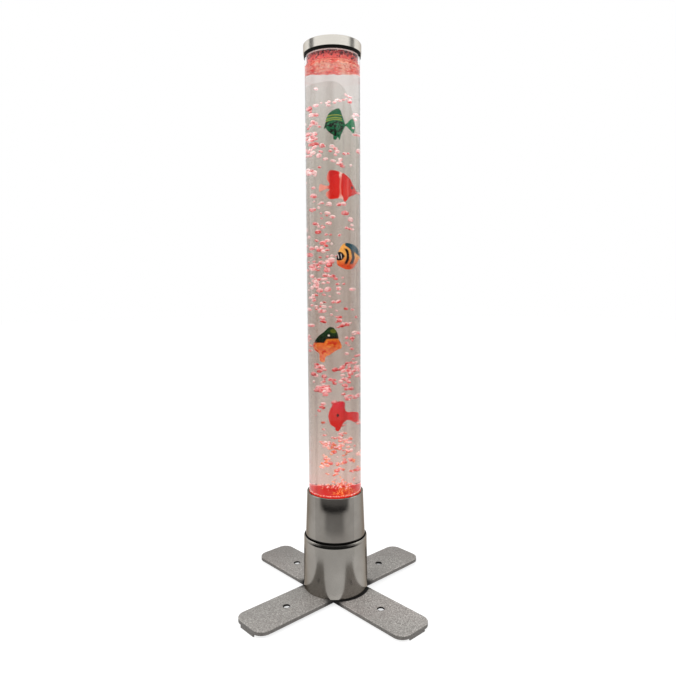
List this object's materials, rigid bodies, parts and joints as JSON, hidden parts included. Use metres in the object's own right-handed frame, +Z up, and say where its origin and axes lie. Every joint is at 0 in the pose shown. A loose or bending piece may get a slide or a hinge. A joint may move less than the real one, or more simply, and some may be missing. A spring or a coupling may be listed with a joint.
{
  "type": "bubble tube floor lamp",
  "caption": "Tall clear water column on a tapered silver base with a cross foot; an air pump and coloured light in the base move toy fish in the tube.",
  "frame": {"origin": "on the floor, under the middle of the tube", "axes": "+Z up along the tube; -Y is the front, +Y the rear with button and power inlet; the foot bars lie on the diagonals"},
  "size_m": [0.3342, 0.3342, 1.0242],
  "materials": {
    "foot_bars": "moulded, silver-painted, finely stippled",
    "base_shells": "satin silver metallic lacquer",
    "cap_metal": "satin, fine turning marks",
    "clear_acrylic": "clear polished acrylic",
    "opal_acrylic": "opal acrylic that spreads the light from below, here lit red",
    "black_rubber": "matt black",
    "white_board": "white solder mask",
    "green_board": "green solder mask",
    "led_chips": "red light-emitting chips",
    "white_mouldings": "natural nylon",
    "dark_mouldings": "black moulded plastic",
    "pump_mouldings": "grey moulded plastic",
    "air_stone": "porous sintered mineral",
    "air_hose": "translucent silicone",
    "iron": "laminated electrical steel",
    "magnet": "nickel-plated magnet",
    "copper": "enamelled copper wire",
    "screws": "zinc-plated",
    "button": "black, lightly polished",
    "lead_jacket": "black flexible sheath",
    "green_fish": "painted soft plastic, green with yellow-green stripes",
    "red_fish": "painted soft plastic, red with a pale band",
    "striped_fish": "painted soft plastic, yellow-orange with dark stripes",
    "green_orange_fish": "painted soft plastic, dark green over orange"
  },
  "bodies": {
    "lamp": {"foot_bar_upper": "foot_bars", "foot_bar_lower": "foot_bars", "foot_bolts": "screws", "base_plate": "dark_mouldings", "plate_screws": "screws", "base_housing": "base_shells", "base_collar": "base_shells", "collar_screws": "screws", "tube_seal": "black_rubber", "acrylic_tube": "clear_acrylic", "tube_floor": "opal_acrylic", "cap_gasket": "black_rubber", "light_window": "clear_acrylic", "led_board": "white_board", "led_chips": "led_chips", "led_board_screws": "screws", "led_socket": "white_mouldings", "air_nozzle": "white_mouldings", "air_stone": "air_stone", "check_valve": "white_mouldings", "air_hose_lower": "air_hose", "air_hose_upper": "air_hose", "pump_feet": "black_rubber", "pump_case": "pump_mouldings", "pump_lid": "pump_mouldings", "pump_core": "iron", "coil_bobbin": "white_mouldings", "coil_winding": "copper", "pump_pin": "screws", "pump_diaphragm": "black_rubber", "pump_valve_block": "pump_mouldings", "control_board": "green_board", "board_components": "dark_mouldings", "switch_body": "dark_mouldings", "power_jack": "dark_mouldings", "jack_nut": "screws", "inlet_lead": "lead_jacket", "light_lead": "lead_jacket", "coil_lead": "lead_jacket"},
    "cap": {"top_cap": "cap_metal"},
    "button": {"mode_button": "button", "switch_plunger": "white_mouldings"},
    "rocker": {"pump_arm": "dark_mouldings", "arm_magnet": "magnet"},
    "green_fish": {"green_fish": "green_fish"},
    "red_fish_upper": {"red_fish_upper": "red_fish"},
    "striped_fish": {"striped_fish": "striped_fish"},
    "green_orange_fish": {"green_orange_fish": "green_orange_fish"},
    "red_fish_lower": {"red_fish_lower": "red_fish"}
  },
  "joints": [
    {"name": "cap_lift", "type": "slide", "parent": "lamp", "child": "cap", "axis": [0, 0, 1], "range_m": [0, 0.04]},
    {"name": "button_press", "type": "slide", "parent": "lamp", "child": "button", "axis": [0, -1, 0], "range_m": [0, 0.002], "stiffness_N_per_m": 800},
    {"name": "rocker_swing", "type": "hinge", "parent": "lamp", "child": "rocker", "pos_m": [0.024, -0.012, 0.04], "axis": [0, 1, 0], "range_deg": [-3, 3], "stiffness_Nm_per_rad": 0.4, "deforming": ["pump_diaphragm"]},
    {"name": "green_fish_drift", "type": "slide", "parent": "lamp", "child": "green_fish", "axis": [0, 0, 1], "range_m": [-0.028, 0.07]},
    {"name": "red_fish_upper_drift", "type": "slide", "parent": "lamp", "child": "red_fish_upper", "axis": [0, 0, 1], "range_m": [-0.034, 0.022]},
    {"name": "striped_fish_drift", "type": "slide", "parent": "lamp", "child": "striped_fish", "axis": [0, 0, 1], "range_m": [-0.05, 0.036]},
    {"name": "green_orange_fish_drift", "type": "slide", "parent": "lamp", "child": "green_orange_fish", "axis": [0, 0, 1], "range_m": [-0.036, 0.05]},
    {"name": "red_fish_lower_drift", "type": "slide", "parent": "lamp", "child": "red_fish_lower", "axis": [0, 0, 1], "range_m": [-0.096, 0.036]}
  ]
}
